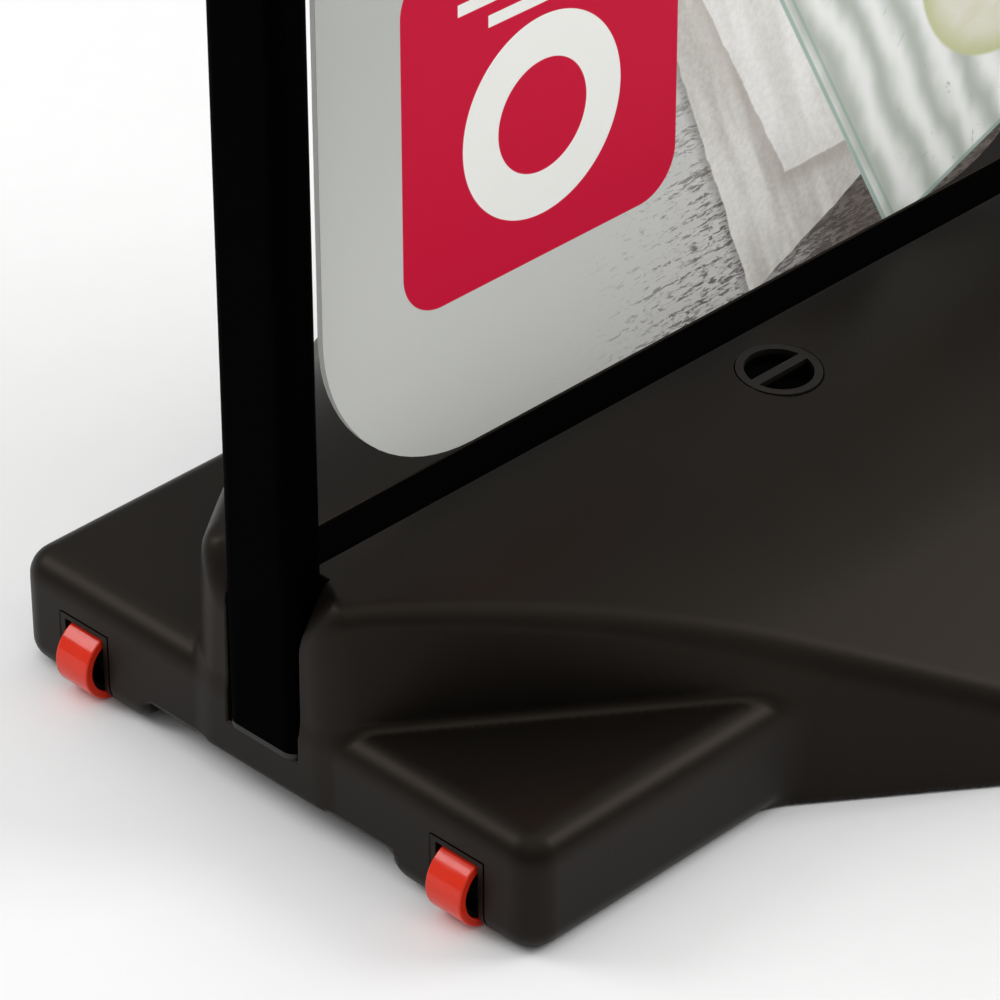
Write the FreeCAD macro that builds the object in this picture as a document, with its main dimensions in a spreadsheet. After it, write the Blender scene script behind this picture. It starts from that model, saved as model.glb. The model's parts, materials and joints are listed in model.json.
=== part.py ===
"""Swinging pavement sign: a board hanging in a hoop frame on a wheeled, sand-filled base.

Millimetres. +X runs along the board, +Y is the back, +Z is up. The origin is on the ground, under
the middle of the object's box. The base is symmetric about its own mid-length plane, which lies
centre_shift away from the origin, because the wheels stand proud of one end only.
"""
import FreeCAD, Part
import math
import os
import Sketcher

Vector = FreeCAD.Vector
Rotation = FreeCAD.Rotation
Placement = FreeCAD.Placement

DIMENSIONS = {
    # whole object
    "centre_shift": 3.75,
    "half_length": 345,
    # feet: one rounded plate under the crown
    "feet_half_depth": 200.5,
    "feet_end_inset": 0.5,
    "feet_height": 72,
    "feet_corner_radius": 18,
    "feet_top_radius": 17,
    "feet_bottom_radius": 15,
    # crown: the raised middle with the ridge
    "crown_end_half_depth": 56,
    "crown_flank_angle": 36.6,
    "crown_apex_radius": 100,
    "crown_corner_radius": 12,
    "crown_bottom_radius": 3,
    "crown_draft": 2.5,
    "ridge_height": 147,
    "roof_flat_half": 30,
    "roof_radius": 310,
    "roof_end_angle": 31,
    "roof_reach": 330,
    "roof_edge_radius": 11,
    # underside and tank wall
    "tunnel_half_depth": 101,
    "tunnel_height": 19,
    "tunnel_radius": 14,
    "tank_wall": 5,
    "ballast_gap": 0.5,
    "ballast_level": 112,
    # leg slots and rail channel
    "slot_half_depth": 27.7,
    "slot_length": 24.6,
    "slot_floor": 42,
    "slot_mouth_radius": 20,
    "slot_mouth_length": 17,
    "channel_half_depth": 13.6,
    "channel_floor": 119,
    # frame
    "tube_half_depth": 27,
    "tube_width": 26.5,
    "tube_corner_radius": 9,
    "tube_wall": 2,
    "leg_stand_out": 2.7,
    "hoop_top": 1068,
    "hoop_bend_radius": 147,
    "cap_flange": 3.5,
    "cap_plug_height": 18,
    "cap_clearance": 0.2,
    "plate_thickness": 6,
    "rail_half_depth": 12.6,
    "rail_height": 25,
    "rail_top": 146.5,
    "rail_wall": 1.5,
    "rail_corner_radius": 2,
    # wheels and their housings
    "wheel_offset": 145.2,
    "wheel_radius": 21.5,
    "wheel_width": 25.5,
    "wheel_edge_radius": 1,
    "wheel_inset": 11.3,
    "wheel_axis_height": 21.7,
    "wheel_hub_radius": 7,
    "tyre_thickness": 4.5,
    "core_rim_thickness": 2.5,
    "core_set_back": 2,
    "wheel_web_thickness": 4,
    "axle_radius": 4,
    "axle_clearance": 0.05,
    "housing_width": 38,
    "housing_depth": 46,
    "housing_top": 46.6,
    "housing_bottom": 2,
    "housing_gap": 0.3,
    "pocket_width": 31,
    "pocket_depth": 41,
    "pocket_top": 43.6,
    # filler
    "filler_offset": 53,
    "plug_flange_radius": 24.5,
    "plug_flange_thickness": 3,
    "plug_thread_radius": 22,
    "plug_length": 18,
    "plug_bar_half_width": 3,
    "plug_recess_radius": 19.8,
    "plug_recess_depth": 9,
    "seal_radius": 0.9,
    "seal_ring_radius": 23.5,
    "neck_radius": 22.4,
    "neck_wall": 4,
    "neck_depth": 24,
    # panel
    "panel_half_width": 297,
    "panel_bottom": 162,
    "panel_height": 841,
    "panel_corner_radius": 108,
    "panel_thickness": 3,
    "poster_thickness": 0.4,
    # hangers
    "hanger_offset": 150,
    "hinge_height": 1023,
    "pin_radius": 4,
    "pin_head_radius": 7,
    "pin_head_thickness": 3,
    "clip_thickness": 1.2,
    "bush_radius": 6.5,
    "bush_clearance": 0.05,
    "strap_width": 44,
    "strap_thickness": 2,
    "strap_bottom": 966,
    "bracket_gap": 1,
    "bracket_wall": 3,
    "bracket_half_depth": 14,
    "bracket_cheek_drop": 10,
    "clamp_bolt_radius": 2.5,
    "clamp_bolt_spacing": 26,
    "clamp_bolt_height": 980,
    "bolt_clearance": 0.1,
    "nut_width": 8,
    "bolt_head_height": 3,
    "bracket_screw_radius": 2.4,
    "bracket_plate_half_length": 42,
    "bracket_screw_offset": 34,
    "bracket_screw_head_radius": 4.5,
    "bracket_screw_length": 9,
    # base bolts
    "base_bolt_radius": 4,
    "base_bolt_head": 6.5,
    "base_bolt_head_height": 5.3,
    "washer_radius": 7.5,
    "washer_thickness": 1.6,
    "bolt_sink": 6,
    "bolt_sink_radius": 8,
    "boss_radius": 12,
    "hub_side_play": 0.5,
    "axle_set_back": 1,
    "bolt_end": 3,
    "base_bolt_socket": 6,
    "nut_height": 4,
    "clamp_head_radius": 4.5,
    "bracket_screw_head_height": 3,
    "pin_end": 4,
}

doc = FreeCAD.newDocument("pavement_sign")
sheet = doc.addObject("Spreadsheet::Sheet", "dims")
for row, (alias, number) in enumerate(DIMENSIONS.items(), start=1):
    sheet.set(f"A{row}", alias)
    sheet.set(f"B{row}", str(number))
    sheet.setAlias(f"B{row}", alias)
doc.recompute()

nodes = []
thing_places = {}


def formula(text):
    """Write dims. in front of every dimension's name."""
    words = []
    word = ""
    for letter in text + " ":
        if letter.isalnum() or letter == "_":
            word += letter
            continue
        words.append(f"dims.{word}" if word in DIMENSIONS else word)
        words.append(letter)
        word = ""
    return "".join(words).strip()


def value(text):
    """Number that a formula of the dimensions comes to."""
    result = sheet.evalExpression(formula(text))
    return float(getattr(result, "Value", result))


def bind(thing, prop, text):
    thing.setExpression(prop, formula(text))


def plane(body, role):
    """Origin plane of a body."""
    return next(feature for feature in body.Origin.OriginFeatures if feature.Role == role)


def new_body(name):
    return doc.addObject("PartDesign::Body", name)


def new_sketch(body, name, role, offset=None):
    """Sketch on one of its body's origin planes, or parallel to it at an offset."""
    sketch = body.newObject("Sketcher::SketchObject", name)
    sketch.AttachmentSupport = [(plane(body, role), "")]
    sketch.MapMode = "FlatFace"
    if offset:
        bind(sketch, "AttachmentOffset.Base.z", offset)
    return sketch


def pin(sketch, edge, end, across, up):
    """Hold one end of an edge at its place."""
    for kind, text in (("DistanceX", across), ("DistanceY", up)):
        index = sketch.addConstraint(Sketcher.Constraint(kind, -1, 1, edge, end, value(text)))
        bind(sketch, f"Constraints[{index}]", text)


def middle_of_arc(start, end, radius, side):
    """Middle point of the shorter arc; side +1 bulges to the right of the way from start to end."""
    chord = end - start
    rise = radius - math.sqrt(radius ** 2 - chord.Length ** 2 / 4)
    right = Vector(chord.y, -chord.x, 0).normalize()
    return (start + end) * 0.5 + right * rise * side


def outline(sketch, corners, arcs=None, closed=True):
    """Outline through corners; arcs holds (radius, side) for each edge that is round."""
    arcs = arcs or {}
    first = sketch.GeometryCount
    points = [Vector(value(across), value(up), 0) for across, up in corners]
    starts = []
    count = len(points) if closed else len(points) - 1
    for index, start in enumerate(points[:count]):
        end = points[(index + 1) % len(points)]
        if index in arcs:
            radius, side = arcs[index]
            middle = middle_of_arc(start, end, value(radius), side)
            ends = (start, end) if side > 0 else (end, start)
            sketch.addGeometry(Part.Arc(ends[0], middle, ends[1]))
            starts.append(1 if side > 0 else 2)
        else:
            sketch.addGeometry(Part.LineSegment(start, end))
            starts.append(1)
    for index in range(count if closed else count - 1):
        after = (index + 1) % count
        meeting = (first + index, 3 - starts[index], first + after, starts[after])
        sketch.addConstraint(Sketcher.Constraint("Coincident", *meeting))
    for index, (across, up) in enumerate(corners[:count]):
        pin(sketch, first + index, starts[index], across, up)
    if not closed:
        pin(sketch, first + count - 1, 3 - starts[-1], *corners[-1])
    for index, (radius, side) in arcs.items():
        held = sketch.addConstraint(Sketcher.Constraint("Radius", first + index, value(radius)))
        bind(sketch, f"Constraints[{held}]", radius)


def rounded_rectangle(sketch, low, high, radius):
    """Rectangle from corner low to corner high, with round corners."""
    (left, bottom), (right, top) = low, high
    corners = [
        (f"{left} + {radius}", bottom), (f"{right} - ({radius})", bottom),
        (right, f"{bottom} + {radius}"), (right, f"{top} - ({radius})"),
        (f"{right} - ({radius})", top), (f"{left} + {radius}", top),
        (left, f"{top} - ({radius})"), (left, f"{bottom} + {radius}"),
    ]
    outline(sketch, corners, {edge: (radius, 1) for edge in (1, 3, 5, 7)})


def circle(sketch, across, up, radius):
    centre = Vector(value(across), value(up), 0)
    edge = sketch.addGeometry(Part.Circle(centre, Vector(0, 0, 1), value(radius)))
    pin(sketch, edge, 3, across, up)
    held = sketch.addConstraint(Sketcher.Constraint("Radius", edge, value(radius)))
    bind(sketch, f"Constraints[{held}]", radius)


def extrude(body, sketch, length, kind="Pad", both_ways=False, turned=False, taper=None):
    """Pad or Pocket of a sketch."""
    feature = body.newObject(f"PartDesign::{kind}", f"{sketch.Name}_{kind.lower()}")
    feature.Profile = sketch
    bind(feature, "Length", length)
    feature.SideType = "Symmetric" if both_ways else "One side"
    feature.Reversed = turned
    if taper:
        bind(feature, "TaperAngle", taper)
    doc.recompute()
    return feature


def revolve(body, sketch, axis):
    feature = body.newObject("PartDesign::Revolution", f"{sketch.Name}_turn")
    feature.Profile = sketch
    feature.ReferenceAxis = (sketch, [axis])
    feature.Angle = 360
    doc.recompute()
    return feature


def round_edges(body, feature, radius, wanted):
    """PartDesign fillet on the edges of a feature that pass a test."""
    edges = [f"Edge{index}" for index, edge in enumerate(feature.Shape.Edges, start=1) if wanted(edge)]
    fillet = body.newObject("PartDesign::Fillet", f"{feature.Name}_round")
    fillet.Base = (feature, edges)
    bind(fillet, "Radius", radius)
    doc.recompute()
    return fillet


def place(thing, x="0", y="0", z="0"):
    for axis, text in (("x", x), ("y", y), ("z", z)):
        bind(thing, f"Placement.Base.{axis}", text)
    thing_places[thing.Name] = x


def box(name, low, high):
    """Box between two corners."""
    thing = doc.addObject("Part::Box", name)
    for prop, start, end in zip(("Length", "Width", "Height"), low, high):
        bind(thing, prop, f"({end}) - ({start})")
    place(thing, *low)
    return thing


TURNS = {
    "x": Rotation(Vector(0, 1, 0), 90),
    "y": Rotation(Vector(1, 0, 0), -90),
    "z": Rotation(),
}


def cylinder(name, radius, length, start, axis="z"):
    """Cylinder that runs from its start point along a positive axis."""
    thing = doc.addObject("Part::Cylinder", name)
    bind(thing, "Radius", radius)
    bind(thing, "Height", length)
    thing.Placement = Placement(Vector(), TURNS[axis])
    place(thing, *start)
    return thing


def hexagon(name, width, length, start, axis="z"):
    """Hexagonal prism, width across its flats."""
    thing = doc.addObject("Part::Prism", name)
    thing.Polygon = 6
    bind(thing, "Circumradius", f"({width}) / 2 / cos(30)")
    bind(thing, "Height", length)
    thing.Placement = Placement(Vector(), TURNS[axis])
    place(thing, *start)
    return thing


def join(name, things):
    thing = doc.addObject("Part::MultiFuse", name)
    thing.Shapes = things
    doc.recompute()
    return thing


def cut(name, base, tools):
    thing = doc.addObject("Part::Cut", name)
    thing.Base = base
    thing.Tool = tools[0] if len(tools) == 1 else join(f"{name}_tools", tools)
    doc.recompute()
    return thing


def node(thing, label):
    """Take an object as a finished sub-part, and move it from the base's middle to the row frame."""
    thing.Label = label
    shift = thing_places.get(thing.Name, "0")
    bind(thing, "Placement.Base.x", f"({shift}) + centre_shift")
    nodes.append(thing)


# ---- ballast tank -------------------------------------------------------------------------------

def is_upright(edge):
    """True for an edge that climbs more than it runs."""
    start, end = edge.Vertexes[0].Point, edge.Vertexes[-1].Point
    return abs(end.z - start.z) > math.hypot(end.x - start.x, end.y - start.y)


def crown_form(name, inset, rounded):
    """Raised middle of the base: a lozenge in plan under a curved roof, drawn in by inset."""
    body = new_body(name)
    plan = new_sketch(body, f"{name}_plan", "XY_Plane", inset)
    end_x = f"half_length - {inset}"
    end_y = (f"crown_end_half_depth + {inset} * (tan(crown_flank_angle) - 1 / cos(crown_flank_angle))")
    apex_x = f"(crown_apex_radius - {inset}) * sin(crown_flank_angle)"
    apex_y = f"({end_y}) + ({end_x} - {apex_x}) * tan(crown_flank_angle)"
    corners = [
        (f"-({end_x})", f"-({end_y})"), (f"-({apex_x})", f"-({apex_y})"), (apex_x, f"-({apex_y})"),
        (end_x, f"-({end_y})"), (end_x, end_y), (apex_x, apex_y), (f"-({apex_x})", apex_y),
        (f"-({end_x})", end_y),
    ]
    apex = (f"crown_apex_radius - {inset}", 1)
    outline(plan, corners, {1: apex, 5: apex})
    block = extrude(body, plan, f"ridge_height - 2 * {inset}", taper="-crown_draft")
    if rounded:
        far = value("half_length") * 0.8
        block = round_edges(body, block, "crown_corner_radius",
                            lambda edge: is_upright(edge) and abs(edge.CenterOfMass.x) > far)
    above = new_sketch(body, f"{name}_roof", "YZ_Plane")
    top = f"ridge_height - {inset}"
    radius = f"(roof_radius - {inset})"
    bend_y = f"roof_flat_half + {radius} * sin(roof_end_angle)"
    bend_z = f"{top} - {radius} * (1 - cos(roof_end_angle))"
    low_z = f"{bend_z} - (roof_reach - ({bend_y})) * tan(roof_end_angle)"
    for side, turn in (("", 1), ("-", -1)):
        corners = [
            (f"{side}roof_flat_half", top), (f"{side}({bend_y})", bend_z),
            (f"{side}roof_reach", low_z), (f"{side}roof_reach", "ridge_height + 1"),
            (f"{side}roof_flat_half", "ridge_height + 1"),
        ]
        outline(above, corners, {0: (radius, -turn)})
    roofed = extrude(body, above, "2 * half_length + 2", "Pocket", both_ways=True)
    if rounded:
        def on_roof_edge(edge):
            faces = [face for face in roofed.Shape.Faces if any(e.isSame(edge) for e in face.Edges)]
            ups = [face.normalAt(*face.Surface.parameter(edge.CenterOfMass)).z for face in faces]
            return len(ups) == 2 and max(ups) > 0.5 and min(ups) < 0.3

        roofed = round_edges(body, roofed, "roof_edge_radius", on_roof_edge)
        round_edges(body, roofed, "crown_bottom_radius", lambda edge: edge.BoundBox.ZMax < 0.01)
    return body


def feet_form(name, inset, rounded):
    """Low plate that makes the four corner feet, rounded on every side, drawn in by inset."""
    body = new_body(name)
    plan = new_sketch(body, f"{name}_plan", "XY_Plane", inset)
    x = f"half_length - feet_end_inset - {inset}"
    y = f"feet_half_depth - {inset}"
    rounded_rectangle(plan, (f"-({x})", f"-({y})"), (x, y), f"(feet_corner_radius - {inset})")
    plate = extrude(body, plan, f"feet_height - 2 * {inset}")
    top_z = value(f"feet_height - {inset}")
    topped = round_edges(body, plate, f"feet_top_radius - {inset}",
                         lambda edge: edge.BoundBox.ZMin > top_z - 0.01)
    if rounded:
        round_edges(body, topped, "feet_bottom_radius", lambda edge: edge.BoundBox.ZMax < 0.01)
    return body


def base_form(name, inset, rounded):
    """Outer form of the base, or of a space inside it: crown and feet together."""
    crown = crown_form(f"{name}_crown", inset, rounded)
    feet = feet_form(f"{name}_feet", inset, rounded)
    return join(name, [crown, feet])


def tunnel(name, wall):
    """Clear space under the base that runs from end to end between the feet, grown by wall."""
    body = new_body(name)
    section = new_sketch(body, f"{name}_section", "YZ_Plane")
    side = f"(tunnel_half_depth + {wall})"
    foot = f"({side} + tunnel_radius)"
    corners = [
        (f"-{foot}", "-1"), (foot, "-1"), (foot, "0"), (side, "tunnel_radius"),
        (side, f"tunnel_height + {wall}"), (f"-{side}", f"tunnel_height + {wall}"),
        (f"-{side}", "tunnel_radius"), (f"-{foot}", "0"),
    ]
    outline(section, corners, {2: ("tunnel_radius", -1), 6: ("tunnel_radius", -1)})
    extrude(body, section, "2 * half_length + 20", both_ways=True)
    return body


def slot_boxes(name, wall):
    """Leg slots at both ends and the rail channel between them, grown by wall."""
    deep = f"slot_floor - {wall}"
    half = f"slot_half_depth + {wall}"
    inner = f"half_length - slot_length - {wall}"
    rail_half = f"channel_half_depth + {wall}"
    top = "ridge_height + 10"
    return [
        box(f"{name}_slot_left", ("-half_length - 5", f"-({half})", deep), (f"-({inner})", half, top)),
        box(f"{name}_slot_right", (inner, f"-({half})", deep), ("half_length + 5", half, top)),
        box(f"{name}_channel", ("-half_length", f"-({rail_half})", f"channel_floor - {wall}"),
            ("half_length", rail_half, top)),
    ]


def slot_mouth(name):
    """Round lip that both leg slots have along their top edges."""
    body = new_body(name)
    section = new_sketch(body, f"{name}_section", "YZ_Plane")
    low = "ridge_height - slot_mouth_radius"
    out = "slot_half_depth + slot_mouth_radius"
    corners = [
        ("-slot_half_depth", low), ("slot_half_depth", low), (out, "ridge_height"),
        (out, "ridge_height + 1"), (f"-({out})", "ridge_height + 1"), (f"-({out})", "ridge_height"),
    ]
    outline(section, corners, {1: ("slot_mouth_radius", -1), 5: ("slot_mouth_radius", -1)})
    extrude(body, section, "2 * half_length + 10", both_ways=True)
    middle = box(f"{name}_middle", ("-half_length + slot_mouth_length", "-100", "0"),
                 ("half_length - slot_mouth_length", "100", "ridge_height + 10"))
    return cut(f"{name}_ends", body, [middle])


def housing_boxes(name, gap):
    """Recesses for the two wheel housings, grown by gap."""
    boxes = []
    for label, side in (("front", -1), ("rear", 1)):
        middle = f"{side} * wheel_offset"
        half = f"(housing_width / 2 + {gap})"
        boxes.append(box(f"{name}_{label}", ("-half_length - 10", f"{middle} - {half}", "-1"),
                         (f"-half_length + housing_depth + {gap}", f"{middle} + {half}",
                          f"housing_top + {gap}")))
    return boxes


ROOF_TILT = "asin((filler_offset - roof_flat_half) / roof_radius)"
ROOF_AT_FILLER = f"ridge_height - roof_radius * (1 - cos({ROOF_TILT}))"


def lean_to_roof(thing, sink="0"):
    """Put an upright thing on the roof at the filler, square to it, sunk below its surface."""
    thing.Placement = Placement(Vector(), Rotation(Vector(1, 0, 0), value(ROOF_TILT)))
    bind(thing, "Placement.Rotation.Angle", ROOF_TILT)
    down = f"({sink})"
    place(thing, "0", f"-filler_offset + {down} * sin({ROOF_TILT})",
          f"{ROOF_AT_FILLER} - {down} * cos({ROOF_TILT})")
    return thing


def sunk_cylinder(name, radius, depth):
    """Cylinder from just above the roof at the filler down to a depth below it."""
    thing = doc.addObject("Part::Cylinder", name)
    bind(thing, "Radius", radius)
    bind(thing, "Height", f"{depth} + 2")
    return lean_to_roof(thing, depth)


HANGERS = (("left", "-hanger_offset"), ("right", "hanger_offset"))
LEG_MIDDLE = "(half_length + leg_stand_out - tube_width / 2)"


def bolt_columns(name, radius, low, high):
    """One upright cylinder under each leg."""
    columns = []
    for label, side in (("left", -1), ("right", 1)):
        start = (f"{side} * {LEG_MIDDLE}", "0", low)
        columns.append(cylinder(f"{name}_{label}", radius, f"({high}) - ({low})", start))
    return columns


def hollow(name, inset):
    """Space inside the tank, drawn in by inset, clear of everything that is let into the tank."""
    form = base_form(f"{name}_form", inset, False)
    keep = [tunnel(f"{name}_tunnel", inset)]
    keep.append(sunk_cylinder(f"{name}_neck", "neck_radius + neck_wall", "neck_depth"))
    keep += slot_boxes(name, inset)
    keep += housing_boxes(name, f"housing_gap + {inset}")
    keep += bolt_columns(f"{name}_boss", f"boss_radius + {inset} - tank_wall", "0", "slot_floor")
    far = "half_length - slot_length - tank_wall"
    lip = f"slot_half_depth + slot_mouth_radius + {inset}"
    for side, low_x, high_x in (("left", "-half_length", f"-({far})"), ("right", far, "half_length")):
        keep.append(box(f"{name}_lip_{side}", (low_x, f"-({lip})", "slot_floor"),
                        (high_x, lip, "ridge_height")))
    return cut(name, form, keep)


def make_tank():
    """Hollow moulded base, open only at the filler and the bolt holes."""
    outside = base_form("tank_outside", "0", True)
    tools = slot_boxes("tank", "0") + housing_boxes("tank_recess", "housing_gap")
    tools += [slot_mouth("slot_mouth"), tunnel("tank_tunnel", "0"), hollow("tank_hollow", "tank_wall")]
    tools += bolt_columns("tank_bolt_hole", "base_bolt_radius + bolt_clearance", "0", "slot_floor + 1")
    tools += bolt_columns("tank_bolt_sink", "bolt_sink_radius", "0", "tunnel_height + bolt_sink")
    tools.append(sunk_cylinder("tank_neck", "neck_radius", "neck_depth + 3"))
    tools.append(sunk_cylinder("tank_counterbore", "plug_flange_radius + housing_gap",
                               "plug_flange_thickness + 2 * seal_radius"))
    node(cut("tank", outside, tools), "base_tank")


def make_ballast():
    """Sand that fills the tank up to its level."""
    space = hollow("ballast_space", "(tank_wall + ballast_gap)")
    above = box("ballast_above", ("-half_length", "-400", "ballast_level"), ("half_length", "400", "200"))
    node(cut("ballast", space, [above]), "sand_ballast")


def ring(name, outer, inner, length, start, axis="z"):
    """Tube that runs from its start point along a positive axis."""
    return cut(name, cylinder(f"{name}_outside", outer, length, start, axis),
               [cylinder(f"{name}_bore", inner, length, start, axis)])


def ring_section(sketch, middle, half_across, half_up, radius, wall):
    """Rounded rectangle with a wall all round, centred at a place along the sketch's first axis."""
    for inset in ("0", wall):
        low = (f"{middle} - {half_across} + {inset}", f"-{half_up} + {inset}")
        high = (f"{middle} + {half_across} - {inset}", f"{half_up} - {inset}")
        rounded_rectangle(sketch, low, high, f"({radius} - {inset})")


def make_hoop():
    """Frame tube: two legs and a top in one bent length, open at its lower ends."""
    body = new_body("hoop")
    spine = new_sketch(body, "hoop_spine", "XZ_Plane")
    foot = "slot_floor + cap_flange"
    top = "hoop_top - tube_width / 2"
    bend_x = f"({LEG_MIDDLE} - hoop_bend_radius)"
    bend_z = f"{top} - hoop_bend_radius"
    corners = [
        (f"-{LEG_MIDDLE}", foot), (f"-{LEG_MIDDLE}", bend_z), (f"-{bend_x}", top),
        (bend_x, top), (LEG_MIDDLE, bend_z), (LEG_MIDDLE, foot),
    ]
    bend = ("hoop_bend_radius", -1)
    outline(spine, corners, {1: bend, 3: bend}, closed=False)
    section = new_sketch(body, "hoop_section", "XY_Plane", foot)
    ring_section(section, f"-{LEG_MIDDLE}", "tube_width / 2", "tube_half_depth", "tube_corner_radius",
                 "tube_wall")
    pipe = body.newObject("PartDesign::AdditivePipe", "hoop_pipe")
    pipe.Profile = section
    pipe.Spine = (spine, [f"Edge{index}" for index in range(1, len(corners))])
    doc.recompute()
    holes = []
    for index, x in enumerate(screw_places()):
        start = (x, "0", "hoop_top - tube_width - 1")
        holes.append(cylinder(f"hoop_hole_{index}", "bracket_screw_radius + bolt_clearance",
                              "tube_wall + 2", start))
    node(cut("hoop_drilled", body, holes), "frame_hoop")


def screw_places():
    """Where the screws of the hinge brackets go up into the frame."""
    return [f"{middle} + {side} * bracket_screw_offset" for _, middle in HANGERS for side in (-1, 1)]


def make_rail():
    """Hollow rail between the legs, over the ridge of the base."""
    body = new_body("rail")
    section = new_sketch(body, "rail_section", "YZ_Plane")
    ring_section(section, "0", "rail_half_depth", "rail_height / 2", "rail_corner_radius", "rail_wall")
    extrude(body, section, f"2 * {LEG_MIDDLE} - tube_width", both_ways=True)
    place(body, z="rail_top - rail_height / 2")
    node(body, "cross_rail")


def make_leg_ends():
    """Foot cap under each leg, and the threaded plate inside the leg above it."""
    for label, side in (("left", -1), ("right", 1)):
        middle = f"{side} * {LEG_MIDDLE}"
        cap = new_body(f"cap_{label}")
        flange = new_sketch(cap, f"cap_flange_{label}", "XY_Plane")
        rounded_rectangle(flange, ("-tube_width / 2", "-tube_half_depth"),
                          ("tube_width / 2", "tube_half_depth"), "tube_corner_radius")
        extrude(cap, flange, "cap_flange")
        snug = "(tube_wall + cap_clearance)"
        low = (f"-tube_width / 2 + {snug}", f"-tube_half_depth + {snug}")
        high = (f"tube_width / 2 - {snug}", f"tube_half_depth - {snug}")
        plug = new_sketch(cap, f"cap_plug_{label}", "XY_Plane", "cap_flange")
        rounded_rectangle(plug, low, high, f"(tube_corner_radius - {snug})")
        extrude(cap, plug, "cap_plug_height")
        hole = new_sketch(cap, f"cap_hole_{label}", "XY_Plane")
        circle(hole, "0", "0", "base_bolt_radius + bolt_clearance")
        extrude(cap, hole, "cap_flange + cap_plug_height", "Pocket", turned=True)
        place(cap, middle, z="slot_floor")
        node(cap, f"leg_cap_{label}")
        plate = new_body(f"plate_{label}")
        section = new_sketch(plate, f"plate_section_{label}", "XY_Plane")
        rounded_rectangle(section, low, high, f"(tube_corner_radius - {snug})")
        circle(section, "0", "0", "base_bolt_radius")
        extrude(plate, section, "plate_thickness")
        place(plate, middle, z="slot_floor + cap_flange + cap_plug_height")
        node(plate, f"leg_plate_{label}")


def make_base_bolts():
    """Bolts and washers that hold the legs down from the underside of the base."""
    bolts = []
    washers = []
    for label, side in (("left", -1), ("right", 1)):
        x = f"{side} * {LEG_MIDDLE}"
        under = "(tunnel_height + bolt_sink - washer_thickness)"
        length = "slot_floor + cap_flange + cap_plug_height + plate_thickness + bolt_end"
        shank = cylinder(f"base_shank_{label}", "base_bolt_radius", f"{length} - ({under})", (x, "0", under))
        low = f"{under} - base_bolt_head_height"
        head = cylinder(f"base_head_{label}", "base_bolt_head", "base_bolt_head_height", (x, "0", low))
        socket = hexagon(f"base_socket_{label}", "base_bolt_socket", "base_bolt_head_height / 2 + 1",
                         (x, "0", f"{low} - 1"))
        bolts.append(cut(f"base_bolt_{label}", join(f"base_bolt_solid_{label}", [shank, head]), [socket]))
        washers.append(ring(f"base_washer_{label}", "washer_radius", "base_bolt_radius + 4 * bolt_clearance",
                            "washer_thickness", (x, "0", under)))
    node(join("base_bolt_pair", bolts), "base_bolts")
    node(join("base_washer_pair", washers), "base_washers")


WHEELS = (("front", -1), ("rear", 1))
AXLE_X = "(-half_length + wheel_inset)"


def wheel_ring(name, section, rounded=()):
    """Body turned about the axle from the right half of its section, mirrored to the left."""
    body = new_body(name)
    sketch = new_sketch(body, f"{name}_section", "YZ_Plane")
    left = [(f"-{y}", radius) for y, radius in reversed(section)]
    outline(sketch, section + left, {edge: ("wheel_edge_radius", 1) for edge in rounded})
    revolve(body, sketch, "H_Axis")
    return body


def make_wheel(label, side):
    """Moulded core with a long hub and a thin web, and the tyre on it."""
    bore = "axle_radius + axle_clearance"
    hub = "(pocket_width / 2 - hub_side_play)"
    web = "wheel_web_thickness / 2"
    half = "wheel_width / 2"
    rim = f"({half} - core_set_back)"
    seat = "(wheel_radius - tyre_thickness)"
    inside = f"({seat} - core_rim_thickness)"
    core = wheel_ring(f"core_{label}", [
        (hub, bore), (hub, "wheel_hub_radius"), (web, "wheel_hub_radius"), (web, inside), (rim, inside),
        (rim, seat),
    ])
    shoulder_y = f"({half} - wheel_edge_radius)"
    shoulder_r = "wheel_radius - wheel_edge_radius"
    tyre = wheel_ring(f"tyre_{label}", [
        (half, seat), (half, shoulder_r), (shoulder_y, "wheel_radius"),
    ], rounded=(1, 3))
    for body, name in ((core, f"wheel_core_{label}"), (tyre, f"wheel_tyre_{label}")):
        place(body, AXLE_X, f"{side} * wheel_offset", "wheel_axis_height")
        node(body, name)


def make_wheel_housing(label, side):
    """Moulded pocket that holds a wheel on its axle, flush with the end of the base."""
    middle = f"{side} * wheel_offset"
    front = "-half_length - 1"
    half = "housing_width / 2"
    block = box(f"housing_block_{label}", (front, f"{middle} - {half}", "housing_bottom"),
                ("-half_length + housing_depth", f"{middle} + {half}", "housing_top"))
    flush = doc.addObject("Part::Common", f"housing_flush_{label}")
    flush.Base = block
    flush.Tool = feet_form(f"housing_skin_{label}", "0", True)
    pocket = box(f"housing_pocket_{label}",
                 (f"{front} - 1", f"{middle} - pocket_width / 2", "housing_bottom - 1"),
                 ("-half_length + pocket_depth", f"{middle} + pocket_width / 2", "pocket_top"))
    hole = cylinder(f"housing_hole_{label}", "axle_radius", "housing_width",
                    (AXLE_X, f"{middle} - {half}", "wheel_axis_height"), "y")
    node(cut(f"housing_{label}", flush, [pocket, hole]), f"wheel_housing_{label}")


def make_wheels():
    for label, side in WHEELS:
        make_wheel_housing(label, side)
        start = (AXLE_X, f"{side} * wheel_offset - housing_width / 2 + axle_set_back", "wheel_axis_height")
        axle = cylinder(f"axle_{label}", "axle_radius", "housing_width - 2 * axle_set_back", start, "y")
        node(axle, f"wheel_axle_{label}")
        make_wheel(label, side)


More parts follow.
